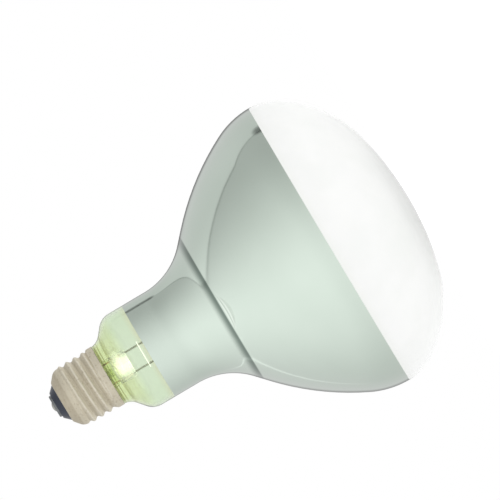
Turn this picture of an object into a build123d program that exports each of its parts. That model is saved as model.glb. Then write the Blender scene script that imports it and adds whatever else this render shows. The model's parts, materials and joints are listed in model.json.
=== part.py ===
from build123d import *
import os
from math import acos, asin, cos, degrees, radians, sin

# Mercury vapor reflector lamp with a medium screw cap, standing on its face.
# The lamp's axis is Z: Z = 0 is the middle of the face and the cap is at the top.
# The two lead wires lie in the XZ plane, as the front view (along +Y) shows them.

# Blown bulb, outside sizes
BULB_DIAMETER = 127.0
GLASS_WALL = 1.0
FACE_CROWN_RADIUS = 124.0
FACE_MIDDLE_RADIUS = 48.4
FACE_RIM_RADIUS = 23.8
FACE_RIM_TURN = 34.2
CONE_RIM_RADIUS = 36.3
CONE_RIM_TURN = 26.5
FLANK_ANGLE = 47.5
FLANK_LENGTH = 6.9
NECK_FLARE_RADIUS = 28.1
NECK_DIAMETER = 42.4
NECK_LENGTH = 16.9
SHOULDER_RADIUS = 7.5
SHOULDER_SLOPE = 50.0
SEAT_CURVE_RADIUS = 6.5

# Coats inside the glass
COAT_THICKNESS = 0.1
COATED_NECK_LENGTH = 10.7

# Screw cap, medium size, right hand knuckle thread
THREAD_DIAMETER = 26.4
THREAD_PITCH = 3.629
THREAD_DEPTH = 1.1
THREAD_TURNS = 2.95
THREAD_START_ANGLE = 115.0
GROOVE_WIDTH = 2.5
SHEET = 0.2
COLLAR_DIAMETER = 26.8
COLLAR_HEIGHT = 2.1
COLLAR_STEP = 0.5
CAP_SHOULDER_RADIUS = 4.0
CAP_SHOULDER_SLOPE = 50.0
CAP_LIP_RADIUS = 1.5
CAP_HOLE_DIAMETER = 16.8
CAP_FIT = 0.05

# Glass insulator, contact and solder
INSULATOR_HEIGHT = 2.8
INSULATOR_TOP_DIAMETER = 11.4
WIRE_HOLE_DIAMETER = 2.2
CONTACT_DIAMETER = 9.6
CONTACT_HEIGHT = 1.0
CONTACT_ROUNDING = 0.4
CONTACT_HOLE_DIAMETER = 1.2
SOLDER_DIAMETER = 4.4
SOLDER_HEIGHT = 0.8
SIDE_SOLDER_RADIUS = 1.3
SLOT_WIDTH = 1.0
SLOT_DEPTH = 1.2

# Neck end inside the cap, and the cement round it
SEAL_DIAMETER = 22.6
SEAL_HEIGHT = 8.5
SEAL_STEP = 0.8
SEAL_TAPER = 2.5
CEMENT_HEIGHT = 7.0

# Stem: flare, tube, press and exhaust tube
STEM_DIAMETER = 12.0
STEM_WALL = 1.0
FLARE_EDGE_HEIGHT = 0.25
FLARE_TURN_RADIUS = 1.6
FLARE_SLOPE = 25.0
FLARE_BEND_RADIUS = 8.0
STEM_DEPTH = 4.0
PRESS_THICKNESS = 3.6
PRESS_LENGTH = 4.3
PRESS_BLEND = 2.0
EXHAUST_DIAMETER = 3.8
EXHAUST_BORE = 2.2
EXHAUST_LENGTH = 15.0
EXHAUST_TIP_RADIUS = 5.0
PORT_DIAMETER = 1.8

# Leads
LEAD_SPACING = 8.8
INNER_LEAD_DIAMETER = 0.8
SEAL_WIRE_DIAMETER = 0.6
SEAL_WIRE_LENGTH = 3.6
OUTER_LEAD_DIAMETER = 0.7
SIDE_LEAD_DIAMETER = 0.4
INNER_LEAD_GRIP = 1.2
INNER_LEAD_FOOT = 4.0
CENTRE_LEAD_RISE = 3.0
SIDE_LEAD_CLEARANCE = 1.5

# Heat shield and hook collar
SHIELD_DIAMETER = 11.8
SHIELD_THICKNESS = 0.3
SHIELD_DROP = 6.2
COLLAR_DROP = 17.4
HOOK_COLLAR_DIAMETER = 14.0
HOOK_COLLAR_THICKNESS = 4.0
HOOK_COLLAR_ROUNDING = 0.5
HOOK_GRIP = 1.2

# Quartz arc tube
ARC_TUBE_DIAMETER = 12.0
ARC_TUBE_WALL = 1.1
ARC_BODY_LENGTH = 38.0
PINCH_LENGTH = 10.0
PINCH_OVERLAP = 2.5
PINCH_WIDTH = 9.6
PINCH_THICKNESS = 3.6
ARC_TUBE_DROP = 5.0
FOIL_LENGTH = 5.0
FOIL_THICKNESS = 0.2
FOIL_EDGE = 2.5
MAIN_FOIL_WIDTH = 2.4
PROBE_FOIL_WIDTH = 1.5
MAIN_OFFSET = 0.9
PROBE_OFFSET = -2.4
ELECTRODE_DIAMETER = 0.8
ELECTRODE_REACH = 6.0
ELECTRODE_COIL_DIAMETER = 2.2
ELECTRODE_COIL_LENGTH = 4.0
COIL_SETBACK = 0.4
PROBE_DIAMETER = 0.5
PROBE_REACH = 4.0
PIN_DIAMETER = 0.8
MAIN_PIN_LENGTH = 4.0
PROBE_PIN_LENGTH = 2.6
LOWER_PIN_LENGTH = 6.0
STRAP_SHEET = 0.4
STRAP_HEIGHT = 2.5
STRAP_PLACE = 5.0

# Frame rod, filament and its hooks
ROD_DIAMETER = 1.6
ROD_OFFSET = 10.5
ROD_BEND = 2.4
ROD_FOOT = 2.0
ROD_WELD = 3.0
ROD_GAP = 1.0
FILAMENT_DIAMETER = 1.6
FILAMENT_RING_DIAMETER = 32.0
FILAMENT_DROP = 14.0
FILAMENT_BEND = 2.0
HOOK_WIRE_DIAMETER = 0.6
HOOK_COUNT = 5
HOOK_BEND = 0.9
HOOK_TURN = 50.0
FILAMENT_START_ANGLE = 20.0
RETURN_LEAD_DIAMETER = 0.8
LEAD_BEND = 1.4
RESISTOR_DIAMETER = 3.0
RESISTOR_LENGTH = 8.0
RESISTOR_WIRE_DIAMETER = 0.5
RESISTOR_WIRE_DROP = 3.0
RESISTOR_X = -4.0
RESISTOR_Y = -5.6

BULB_RADIUS = BULB_DIAMETER / 2
NECK_RADIUS = NECK_DIAMETER / 2
SEAL_RADIUS = SEAL_DIAMETER / 2
CREST_RADIUS = THREAD_DIAMETER / 2
BORE_RADIUS = CREST_RADIUS - THREAD_DEPTH - SHEET
COLLAR_RADIUS = COLLAR_DIAMETER / 2
SEAT_RADIUS = COLLAR_RADIUS - SHEET - CAP_FIT
CAP_HOLE_RADIUS = CAP_HOLE_DIAMETER / 2
STEM_RADIUS = STEM_DIAMETER / 2
LEAD_X = LEAD_SPACING / 2
LEAD_RADIUS = INNER_LEAD_DIAMETER / 2
ROD_RADIUS = ROD_DIAMETER / 2
FILAMENT_RADIUS = FILAMENT_DIAMETER / 2
RING_RADIUS = FILAMENT_RING_DIAMETER / 2
HOOK_WIRE_RADIUS = HOOK_WIRE_DIAMETER / 2


def run(path, length):
    """A straight run on from the end of a path."""
    return Line(path @ 1, path @ 1 + (path % 1) * length)


def bend(path, radius, turn):
    """A smooth arc on from the end of a path: left for a positive turn, in degrees."""
    return JernArc(path @ 1, path % 1, radius, turn)


def turned(*edges):
    """The closed outline (radius, height) turned about the lamp's axis."""
    face = make_face(Plane.XZ * (Curve() + list(edges)))
    return revolve(face, Axis.Z, 360)


def ring(inner, outer, low, high):
    """A ring or, with no inner radius, a disc about the lamp's axis."""
    body = Pos(0, 0, low) * Cylinder(outer, high - low, align=(Align.CENTER, Align.CENTER, Align.MIN))
    if inner > 0:
        bore = Cylinder(inner, high - low, align=(Align.CENTER, Align.CENTER, Align.MIN))
        body -= Pos(0, 0, low) * bore
    return body


def post(x, y, radius, low, high):
    """A straight round wire parallel to the axis."""
    return Pos(x, y, 0) * ring(0, radius, low, high)


def wire(points, diameter, bend_radius):
    """A round wire along straight runs joined by bends of one radius."""
    path = FilletPolyline(*points, radius=bend_radius)
    section = Plane(path @ 0, z_dir=path % 0) * Circle(diameter / 2)
    return sweep(section, path=path)


def around(angle, radius, height):
    """A point at an angle about the axis."""
    return (radius * cos(radians(angle)), radius * sin(radians(angle)), height)


def drop(radius, turn):
    """How far an arc of that turn moves a path sideways."""
    return radius * (1 - cos(radians(turn)))


# Turns and runs that make the bulb's outline meet its diameters
RIM_SINE = cos(radians(FACE_RIM_TURN))
CROWN_SINE = (BULB_RADIUS - FACE_MIDDLE_RADIUS * RIM_SINE - FACE_RIM_RADIUS * (1 - RIM_SINE)) / (
    FACE_CROWN_RADIUS - FACE_MIDDLE_RADIUS
)
CROWN_TURN = degrees(asin(CROWN_SINE))
BELLY_DROP = (
    BULB_RADIUS
    - NECK_RADIUS
    - drop(CONE_RIM_RADIUS, CONE_RIM_TURN)
    - FLANK_LENGTH * sin(radians(FLANK_ANGLE))
    - drop(NECK_FLARE_RADIUS, FLANK_ANGLE)
)
CONE_BELLY_RADIUS = BELLY_DROP / (cos(radians(CONE_RIM_TURN)) - cos(radians(FLANK_ANGLE)))
SHOULDER_DROP = (
    NECK_RADIUS
    - SEAT_RADIUS
    - drop(SHOULDER_RADIUS, SHOULDER_SLOPE)
    - drop(SEAT_CURVE_RADIUS, SHOULDER_SLOPE)
)
SHOULDER_LENGTH = SHOULDER_DROP / sin(radians(SHOULDER_SLOPE))


def face_outline(inset):
    """Face of the bulb from its middle to the widest line, moved into the glass by inset."""
    crown = JernArc((0, inset), (1, 0), FACE_CROWN_RADIUS - inset, CROWN_TURN)
    middle = bend(crown, FACE_MIDDLE_RADIUS - inset, 90 - CROWN_TURN - FACE_RIM_TURN)
    rim = bend(middle, FACE_RIM_RADIUS - inset, FACE_RIM_TURN)
    return [crown, middle, rim]


RIM_HEIGHT = (face_outline(0)[-1] @ 1).Y


def cone_outline(inset, neck_length):
    """Cone of the bulb from the widest line up along the neck."""
    rim = JernArc((BULB_RADIUS - inset, RIM_HEIGHT), (0, 1), CONE_RIM_RADIUS - inset, CONE_RIM_TURN)
    belly = bend(rim, CONE_BELLY_RADIUS - inset, FLANK_ANGLE - CONE_RIM_TURN)
    flank = run(belly, FLANK_LENGTH)
    flare = bend(flank, NECK_FLARE_RADIUS + inset, -FLANK_ANGLE)
    neck = run(flare, neck_length)
    return [rim, belly, flank, flare, neck]


def seat_outline(neck, inset):
    """Round shoulder of the neck and the curve that leads into the cap."""
    shoulder = bend(neck, SHOULDER_RADIUS - inset, SHOULDER_SLOPE)
    slope = run(shoulder, SHOULDER_LENGTH)
    seat = bend(slope, SEAT_CURVE_RADIUS + inset, -SHOULDER_SLOPE)
    return [shoulder, slope, seat]


# Heights that the outline gives
SEAT_HEIGHT = (seat_outline(cone_outline(0, NECK_LENGTH)[-1], 0)[-1] @ 1).Y
CAP_BASE = SEAT_HEIGHT - COLLAR_STEP
SEAL_TOP = SEAT_HEIGHT + SEAL_HEIGHT
THREAD_START = CAP_BASE + COLLAR_HEIGHT + COLLAR_STEP
THREAD_END = THREAD_START + THREAD_TURNS * THREAD_PITCH + GROOVE_WIDTH
STEM_FLOOR = CAP_BASE - STEM_DEPTH
PRESS_TOP = STEM_FLOOR - PRESS_BLEND
PRESS_END = PRESS_TOP - PRESS_LENGTH
INNER_LEAD_TOP = PRESS_END + INNER_LEAD_GRIP
OUTER_LEAD_START = INNER_LEAD_TOP + SEAL_WIRE_LENGTH
SHIELD_TOP = PRESS_END - SHIELD_DROP
HOOK_COLLAR_TOP = PRESS_END - COLLAR_DROP
HOOK_COLLAR_BASE = HOOK_COLLAR_TOP - HOOK_COLLAR_THICKNESS
HOOK_WIRE_HEIGHT = HOOK_COLLAR_TOP - HOOK_COLLAR_THICKNESS / 2
FILAMENT_HEIGHT = HOOK_WIRE_HEIGHT - FILAMENT_DROP
ARC_TUBE_TOP = HOOK_COLLAR_BASE - ARC_TUBE_DROP
BODY_TOP = ARC_TUBE_TOP - PINCH_LENGTH
BODY_BASE = BODY_TOP - ARC_BODY_LENGTH
ARC_TUBE_BASE = BODY_BASE - PINCH_LENGTH
UPPER_FOIL_TOP = ARC_TUBE_TOP - FOIL_EDGE
UPPER_FOIL_BASE = UPPER_FOIL_TOP - FOIL_LENGTH
LOWER_FOIL_BASE = ARC_TUBE_BASE + FOIL_EDGE
LOWER_FOIL_TOP = LOWER_FOIL_BASE + FOIL_LENGTH
PIN_TOP = ARC_TUBE_TOP + MAIN_PIN_LENGTH
PROBE_PIN_TOP = ARC_TUBE_TOP + PROBE_PIN_LENGTH
LOWER_PIN_END = ARC_TUBE_BASE - LOWER_PIN_LENGTH
ROD_BASE = LOWER_PIN_END - ROD_RADIUS
ROD_TOP = HOOK_COLLAR_BASE - ROD_GAP


def cap_outline(offset):
    """Tapered end of the cap from the thread to its hole, moved in by offset."""
    taper_drop = (
        CREST_RADIUS
        - CAP_HOLE_RADIUS
        - drop(CAP_SHOULDER_RADIUS, CAP_SHOULDER_SLOPE)
        - CAP_LIP_RADIUS * cos(radians(CAP_SHOULDER_SLOPE))
    )
    start = (CREST_RADIUS - offset, THREAD_END)
    shoulder = JernArc(start, (0, 1), CAP_SHOULDER_RADIUS - offset, CAP_SHOULDER_SLOPE)
    taper = run(shoulder, taper_drop / sin(radians(CAP_SHOULDER_SLOPE)))
    lip = bend(taper, CAP_LIP_RADIUS - offset, 90 - CAP_SHOULDER_SLOPE)
    return [shoulder, taper, lip]


CAP_TOP = (cap_outline(0)[-1] @ 1).Y
CONTACT_BASE = CAP_TOP + INSULATOR_HEIGHT
CONTACT_TOP = CONTACT_BASE + CONTACT_HEIGHT
SLOT_TOP = CAP_BASE + COLLAR_HEIGHT


def bulb_envelope():
    """Blown glass: face, cone, neck and the narrow end that the stem is sealed to."""
    outer_face = face_outline(0)
    inner_face = face_outline(GLASS_WALL)
    outer_cone = cone_outline(0, NECK_LENGTH)
    inner_cone = cone_outline(GLASS_WALL, NECK_LENGTH)
    outer_seat = seat_outline(outer_cone[-1], 0)
    inner_seat = seat_outline(inner_cone[-1], GLASS_WALL)
    inner_seal = SEAL_RADIUS - GLASS_WALL
    seal_step = Polyline(
        outer_seat[-1] @ 1,
        (SEAT_RADIUS, SEAT_HEIGHT + SEAL_STEP / 2),
        (SEAL_RADIUS, SEAT_HEIGHT + SEAL_STEP),
        (SEAL_RADIUS, SEAL_TOP),
        (inner_seal, SEAL_TOP),
        (inner_seal, SEAT_HEIGHT + SEAL_TAPER),
        inner_seat[-1] @ 1,
    )
    middle = Line((0, 0), (0, GLASS_WALL))
    outer = outer_face + outer_cone + outer_seat
    inner = inner_face + inner_cone + inner_seat
    return turned(*outer, seal_step, *inner, middle)


def reflector_coating():
    """Bright metal film on the inside of the cone and the start of the neck."""
    outer = cone_outline(GLASS_WALL, COATED_NECK_LENGTH)
    inner = cone_outline(GLASS_WALL + COAT_THICKNESS, COATED_NECK_LENGTH)
    rim = Line(outer[0] @ 0, inner[0] @ 0)
    edge = Line(outer[-1] @ 1, inner[-1] @ 1)
    return turned(*outer, *inner, rim, edge)


def face_frosting():
    """White diffusing film on the inside of the face."""
    outer = face_outline(GLASS_WALL)
    inner = face_outline(GLASS_WALL + COAT_THICKNESS)
    middle = Line(outer[0] @ 0, inner[0] @ 0)
    edge = Line(outer[-1] @ 1, inner[-1] @ 1)
    return turned(*outer, *inner, middle, edge)


def flare_outline(start_radius, offset):
    """One side of the flare: over the sealed edge and down to the stem's tube.

    The offset is the distance outside the side that faces the axis.
    """
    edge = Line((start_radius, SEAL_TOP), (start_radius, SEAL_TOP + FLARE_EDGE_HEIGHT))
    turn = bend(edge, FLARE_TURN_RADIUS - offset, 180)
    first = bend(turn, FLARE_BEND_RADIUS + offset, -FLARE_SLOPE)
    narrowing = SEAL_RADIUS - 2 * FLARE_TURN_RADIUS - (STEM_RADIUS - STEM_WALL)
    bends = drop(FLARE_BEND_RADIUS, FLARE_SLOPE) + drop(FLARE_BEND_RADIUS + STEM_WALL, FLARE_SLOPE)
    slope = run(first, (narrowing - bends) / sin(radians(FLARE_SLOPE)))
    second = bend(slope, FLARE_BEND_RADIUS + STEM_WALL - offset, FLARE_SLOPE)
    tube = Line(second @ 1, ((second @ 1).X, STEM_FLOOR))
    return [edge, turn, first, slope, second, tube]


def stem_flare():
    """Flared glass tube and the flat press at its end, as one fused piece."""
    air_side = flare_outline(SEAL_RADIUS, 0)
    bulb_side = flare_outline(SEAL_RADIUS - STEM_WALL, STEM_WALL)
    joint = Line(air_side[0] @ 0, bulb_side[0] @ 0)
    foot = Line(air_side[-1] @ 1, bulb_side[-1] @ 1)
    tube = turned(*air_side, *bulb_side, joint, foot)
    press_outline = SlotOverall(STEM_DIAMETER, PRESS_THICKNESS)
    blend = loft([Pos(0, 0, STEM_FLOOR) * Circle(STEM_RADIUS), Pos(0, 0, PRESS_TOP) * press_outline])
    press = extrude(Pos(0, 0, PRESS_END) * press_outline, PRESS_LENGTH)
    press = fillet(press.edges().group_by(Axis.Z)[0], STEM_WALL)
    stem = tube + blend + press
    return stem - ring(0, PORT_DIAMETER / 2, PRESS_END, STEM_FLOOR)


def exhaust_tube():
    """Glass tube that the bulb was pumped through, melted shut at its tip."""
    outer = EXHAUST_DIAMETER / 2
    bore = EXHAUST_BORE / 2
    top = STEM_FLOOR + EXHAUST_LENGTH
    turn = acos(1 - outer / EXHAUST_TIP_RADIUS)
    apex = (0, top + EXHAUST_TIP_RADIUS * sin(turn))
    tip = JernArc(apex, (sin(turn), -cos(turn)), EXHAUST_TIP_RADIUS, -degrees(turn))
    rest = Polyline(tip @ 1, (outer, STEM_FLOOR), (bore, STEM_FLOOR), (bore, top), (0, top + bore), apex)
    return turned(tip, rest)


def seal_wire(side):
    """Short wire that passes through the press, gas tight."""
    return post(side * LEAD_X, 0, SEAL_WIRE_DIAMETER / 2, INNER_LEAD_TOP, OUTER_LEAD_START)


def outer_lead_centre():
    """Wire from the press up through the insulator to the centre contact."""
    points = [
        (LEAD_X, 0, OUTER_LEAD_START),
        (LEAD_X, 0, SEAL_TOP + CENTRE_LEAD_RISE),
        (0, 0, (THREAD_END + CAP_TOP) / 2 - OUTER_LEAD_DIAMETER),
        (0, 0, CONTACT_TOP),
    ]
    return wire(points, OUTER_LEAD_DIAMETER, LEAD_BEND)


def outer_lead_side():
    """Thin wire from the press over the sealed edge and down to the cap's rim."""
    over = SEAL_TOP + FLARE_TURN_RADIUS + SIDE_LEAD_CLEARANCE
    beside = SEAL_RADIUS + SIDE_LEAD_DIAMETER / 2 + CAP_FIT
    points = [
        (-LEAD_X, 0, OUTER_LEAD_START),
        (-LEAD_X, 0, over),
        (0, beside, over),
        (0, beside, SLOT_TOP - SLOT_WIDTH / 2),
        (0, COLLAR_RADIUS + SIDE_LEAD_DIAMETER, SLOT_TOP - SLOT_WIDTH / 2),
    ]
    return wire(points, SIDE_LEAD_DIAMETER, SIDE_LEAD_DIAMETER)


def inner_lead_filament():
    """Wire from the press to the start of the filament."""
    start = around(FILAMENT_START_ANGLE, RING_RADIUS, FILAMENT_HEIGHT + FILAMENT_RADIUS)
    elbow = around(FILAMENT_START_ANGLE, RING_RADIUS, FILAMENT_HEIGHT + INNER_LEAD_FOOT)
    points = [
        (LEAD_X, 0, INNER_LEAD_TOP),
        (LEAD_X, 0, HOOK_COLLAR_BASE - 2 * LEAD_BEND),
        elbow,
        start,
    ]
    return wire(points, INNER_LEAD_DIAMETER, LEAD_BEND)


def inner_lead_frame():
    """Wire from the press to its weld on the frame rod."""
    return post(-LEAD_X, 0, LEAD_RADIUS, ROD_TOP - ROD_WELD, INNER_LEAD_TOP)


def frame_rod():
    """Stiff rod past the arc tube to its lower pin: it carries the tube and the current."""
    beside = -LEAD_X - LEAD_RADIUS - ROD_RADIUS
    points = [
        (beside, 0, ROD_TOP),
        (beside, 0, ROD_TOP - ROD_WELD),
        (-ROD_OFFSET, 0, ROD_TOP - ROD_WELD - (ROD_OFFSET + beside)),
        (-ROD_OFFSET, 0, ROD_BASE),
        (ROD_FOOT, 0, ROD_BASE),
    ]
    return wire(points, ROD_DIAMETER, ROD_BEND)


def heat_shield():
    """Thin disc across the neck that keeps the arc's heat from the press."""
    disc = ring(0, SHIELD_DIAMETER / 2, SHIELD_TOP - SHIELD_THICKNESS, SHIELD_TOP)
    for side in (-1, 1):
        disc -= post(side * LEAD_X, 0, LEAD_RADIUS, SHIELD_TOP - SHIELD_THICKNESS, SHIELD_TOP)
    return disc


def hook_collar():
    """Ceramic collar on the two leads, bored for the hook wires."""
    body = ring(0, HOOK_COLLAR_DIAMETER / 2, HOOK_COLLAR_BASE, HOOK_COLLAR_TOP)
    body = fillet(body.edges(), HOOK_COLLAR_ROUNDING)
    for side in (-1, 1):
        body -= post(side * LEAD_X, 0, LEAD_RADIUS, HOOK_COLLAR_BASE, HOOK_COLLAR_TOP)
    return body


def filament_hook(index):
    """Wire hook that holds one corner of the filament."""
    angle = FILAMENT_START_ANGLE + HOOK_TURN * (index + 1)
    outside = RING_RADIUS + FILAMENT_RADIUS + HOOK_WIRE_RADIUS
    under = FILAMENT_HEIGHT - FILAMENT_RADIUS - HOOK_WIRE_RADIUS
    points = [
        around(angle, HOOK_COLLAR_DIAMETER / 2 - HOOK_GRIP, HOOK_WIRE_HEIGHT),
        around(angle, outside, HOOK_WIRE_HEIGHT),
        around(angle, outside, under),
        around(angle, RING_RADIUS - FILAMENT_RADIUS, under),
    ]
    return wire(points, HOOK_WIRE_DIAMETER, HOOK_BEND)


def ballast_filament():
    """Tungsten coil strung from hook to hook round the arc tube: its outer shape."""
    corners = [
        around(FILAMENT_START_ANGLE + HOOK_TURN * index, RING_RADIUS, FILAMENT_HEIGHT)
        for index in range(HOOK_COUNT + 2)
    ]
    return wire(corners, FILAMENT_DIAMETER, FILAMENT_BEND)


def filament_return_lead():
    """Wire from the end of the filament to the arc tube's upper pin."""
    angle = FILAMENT_START_ANGLE + HOOK_TURN * (HOOK_COUNT + 1)
    height = PIN_TOP - RETURN_LEAD_DIAMETER
    corner = Vector(*around(angle, RING_RADIUS, height))
    pin = Vector(MAIN_OFFSET, 0, height)
    points = [
        around(angle, RING_RADIUS, FILAMENT_HEIGHT + FILAMENT_RADIUS),
        corner,
        pin + (corner - pin).normalized() * (PIN_DIAMETER / 2),
    ]
    return wire(points, RETURN_LEAD_DIAMETER, LEAD_BEND)


def arc_tube():
    """Quartz tube with round ends, pinched flat over the foils."""
    outer = ARC_TUBE_DIAMETER / 2
    inner = outer - ARC_TUBE_WALL
    body = turned(*capsule(outer, BODY_BASE, BODY_TOP))
    pinch = SlotOverall(PINCH_WIDTH, PINCH_THICKNESS)
    for low in (ARC_TUBE_BASE, BODY_TOP - PINCH_OVERLAP):
        body += extrude(Pos(0, 0, low) * pinch, PINCH_LENGTH + PINCH_OVERLAP)
    return body - turned(*capsule(inner, BODY_BASE + ARC_TUBE_WALL, BODY_TOP - ARC_TUBE_WALL))


def capsule(radius, low, high):
    """Half outline of a round ended tube."""
    base = JernArc((0, low), (1, 0), radius, 90)
    side = run(base, high - low - 2 * radius)
    top = bend(side, radius, 90)
    return [base, side, top, Line((0, high), (0, low))]


def foil(x, width, low):
    """Thin metal strip sealed in a pinch."""
    return Pos(x, 0, low + FOIL_LENGTH / 2) * Box(width, FOIL_THICKNESS, FOIL_LENGTH)


def electrode_coil(x, low):
    """Wound sleeve near an electrode's tip."""
    sleeve = ring(ELECTRODE_DIAMETER / 2, ELECTRODE_COIL_DIAMETER / 2, low, low + ELECTRODE_COIL_LENGTH)
    return Pos(x, 0, 0) * sleeve


def pinch_strap(low):
    """Metal band round a pinch, with an arm to the frame rod."""
    width = PINCH_WIDTH + 2 * STRAP_SHEET
    thickness = PINCH_THICKNESS + 2 * STRAP_SHEET
    band = SlotOverall(width, thickness) - SlotOverall(PINCH_WIDTH, PINCH_THICKNESS)
    strap = extrude(Pos(0, 0, low) * band, STRAP_HEIGHT)
    reach = ROD_OFFSET - ROD_RADIUS - PINCH_WIDTH / 2
    arm_middle = -PINCH_WIDTH / 2 - reach / 2
    arm = Pos(arm_middle, 0, low + STRAP_HEIGHT / 2) * Box(reach, STRAP_SHEET, STRAP_HEIGHT)
    return strap + arm


def starting_resistor():
    """Small resistor from the starting probe's pin to the frame rod, with its wires."""
    top = ARC_TUBE_TOP - STRAP_HEIGHT
    base = top - RESISTOR_LENGTH
    radius = RESISTOR_WIRE_DIAMETER / 2
    body = post(RESISTOR_X, RESISTOR_Y, RESISTOR_DIAMETER / 2, base, top)
    upper = [
        (RESISTOR_X, RESISTOR_Y, top),
        (RESISTOR_X, RESISTOR_Y, PROBE_PIN_TOP - RESISTOR_WIRE_DIAMETER),
        (PROBE_OFFSET, -PIN_DIAMETER / 2 - CAP_FIT, PROBE_PIN_TOP - RESISTOR_WIRE_DIAMETER),
    ]
    lower = [
        (RESISTOR_X, RESISTOR_Y, base),
        (RESISTOR_X, RESISTOR_Y, base - RESISTOR_WIRE_DROP),
        (-ROD_OFFSET, -ROD_RADIUS - radius, base - RESISTOR_WIRE_DROP),
    ]
    body += wire(upper, RESISTOR_WIRE_DIAMETER, LEAD_BEND)
    return body + wire(lower, RESISTOR_WIRE_DIAMETER, LEAD_BEND)


def thread_groove():
    """Round bottomed groove that winds up the barrel, right handed, between the crests."""
    round_radius = (GROOVE_WIDTH**2 / 4 + THREAD_DEPTH**2) / (2 * THREAD_DEPTH)
    path = Helix(
        pitch=THREAD_PITCH,
        height=THREAD_TURNS * THREAD_PITCH,
        radius=CREST_RADIUS - THREAD_DEPTH + round_radius,
        center=(0, 0, THREAD_START + GROOVE_WIDTH / 2),
    )
    section = Plane(path @ 0, z_dir=path % 0) * Circle(round_radius)
    return Rot(0, 0, THREAD_START_ANGLE) * sweep(section, path=path, is_frenet=True)


def screw_shell():
    """Rolled shell: collar, round thread and tapered end, with a slot for the side wire."""
    outside = cap_outline(0)
    inside = cap_outline(SHEET)
    barrel = Polyline(
        outside[0] @ 0,
        (CREST_RADIUS, THREAD_START),
        (COLLAR_RADIUS, THREAD_START - COLLAR_STEP),
        (COLLAR_RADIUS, CAP_BASE),
        (COLLAR_RADIUS - SHEET, CAP_BASE),
        (COLLAR_RADIUS - SHEET, THREAD_START - COLLAR_STEP),
        (BORE_RADIUS, THREAD_START),
        (BORE_RADIUS, THREAD_END),
        inside[0] @ 0,
    )
    lip = Line(outside[-1] @ 1, inside[-1] @ 1)
    shell = turned(barrel, *outside, *inside, lip) - thread_groove()
    slot_height = SLOT_TOP - CAP_BASE
    slot = Pos(0, COLLAR_RADIUS, CAP_BASE + slot_height / 2) * Box(SLOT_WIDTH, SLOT_DEPTH, slot_height)
    return shell - slot


def cap_insulator():
    """Glass insulator, moulded into the cap's end, with a hole for the wire."""
    inside = cap_outline(SHEET)
    taper = inside[1]
    lip = inside[2]
    hole = WIRE_HOLE_DIAMETER / 2
    rest = Polyline(
        lip @ 1,
        (CAP_HOLE_RADIUS, CAP_TOP),
        (INSULATOR_TOP_DIAMETER / 2, CONTACT_BASE),
        (hole, CONTACT_BASE),
        (hole, (taper @ 0).Y),
        taper @ 0,
    )
    return turned(taper, lip, rest)


def centre_contact():
    """Round metal contact with a hole for the wire."""
    disc = ring(0, CONTACT_DIAMETER / 2, CONTACT_BASE, CONTACT_TOP)
    disc = fillet(disc.edges().group_by(Axis.Z)[-1], CONTACT_ROUNDING)
    return disc - ring(0, CONTACT_HOLE_DIAMETER / 2, CONTACT_BASE, CONTACT_TOP)


def contact_solder():
    """Drop of solder on the contact, and the solder in its hole round the wire."""
    radius = SOLDER_DIAMETER / 2
    crown_radius = (radius**2 + SOLDER_HEIGHT**2) / (2 * SOLDER_HEIGHT)
    crown_turn = degrees(asin(radius / crown_radius))
    crown = JernArc((0, CONTACT_TOP + SOLDER_HEIGHT), (1, 0), crown_radius, -crown_turn)
    drop_solid = turned(crown, Polyline(crown @ 1, (0, CONTACT_TOP), crown @ 0))
    plug = ring(OUTER_LEAD_DIAMETER / 2, CONTACT_HOLE_DIAMETER / 2, CONTACT_BASE, CONTACT_TOP)
    return drop_solid + plug


def side_solder(shell, lead):
    """Blob of solder that joins the side wire to the cap's rim."""
    middle = Pos(0, COLLAR_RADIUS, SLOT_TOP - SLOT_WIDTH / 2)
    blob = middle * Sphere(SIDE_SOLDER_RADIUS)
    blob -= ring(0, COLLAR_RADIUS - SHEET, CAP_BASE - SIDE_SOLDER_RADIUS, THREAD_END)
    return blob - shell - lead


def basing_cement(lead):
    """Cement between the neck's end and the cap."""
    outer = BORE_RADIUS - CAP_FIT
    base = SEAT_HEIGHT + SEAL_STEP + CAP_FIT
    top = base + CEMENT_HEIGHT
    outline = Polyline(
        (SEAL_RADIUS, base),
        (SEAL_RADIUS, top),
        (outer, top),
        (outer, THREAD_START - CAP_FIT),
        (SEAT_RADIUS, THREAD_START - COLLAR_STEP - CAP_FIT),
        (SEAT_RADIUS, base - SEAL_STEP / 2),
        close=True,
    )
    return turned(outline) - lead


def glass_pieces(leads):
    """The bulb, its coats and the stem that closes it."""
    press = stem_flare()
    for lead in leads.values():
        press -= lead
    return {
        "bulb_envelope": bulb_envelope(),
        "reflector_coating": reflector_coating(),
        "face_frosting": face_frosting(),
        "stem_flare": press,
        "exhaust_tube": exhaust_tube(),
    }


def lead_pieces():
    """The wires that carry the current through the stem."""
    return {
        "seal_wire_filament": seal_wire(1),
        "seal_wire_frame": seal_wire(-1),
        "outer_lead_centre": outer_lead_centre(),
        "outer_lead_side": outer_lead_side(),
        "inner_lead_filament": inner_lead_filament(),
        "inner_lead_frame": inner_lead_frame(),
    }


def mount_pieces():
    """What the inner leads carry, apart from the arc tube itself."""
    pieces = {f"filament_hook_{index + 1}": filament_hook(index) for index in range(HOOK_COUNT)}
    collar = hook_collar()
    for hook in pieces.values():
        collar -= hook
    pieces["hook_collar"] = collar
    pieces["heat_shield"] = heat_shield()
    pieces["frame_rod"] = frame_rod()
    pieces["ballast_filament"] = ballast_filament()
    pieces["filament_return_lead"] = filament_return_lead()
    pieces["starting_resistor"] = starting_resistor()
    pieces["pinch_strap_upper"] = pinch_strap(ARC_TUBE_TOP - STRAP_PLACE - STRAP_HEIGHT)
    pieces["pinch_strap_lower"] = pinch_strap(ARC_TUBE_BASE + STRAP_PLACE - STRAP_HEIGHT)
    return pieces


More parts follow.
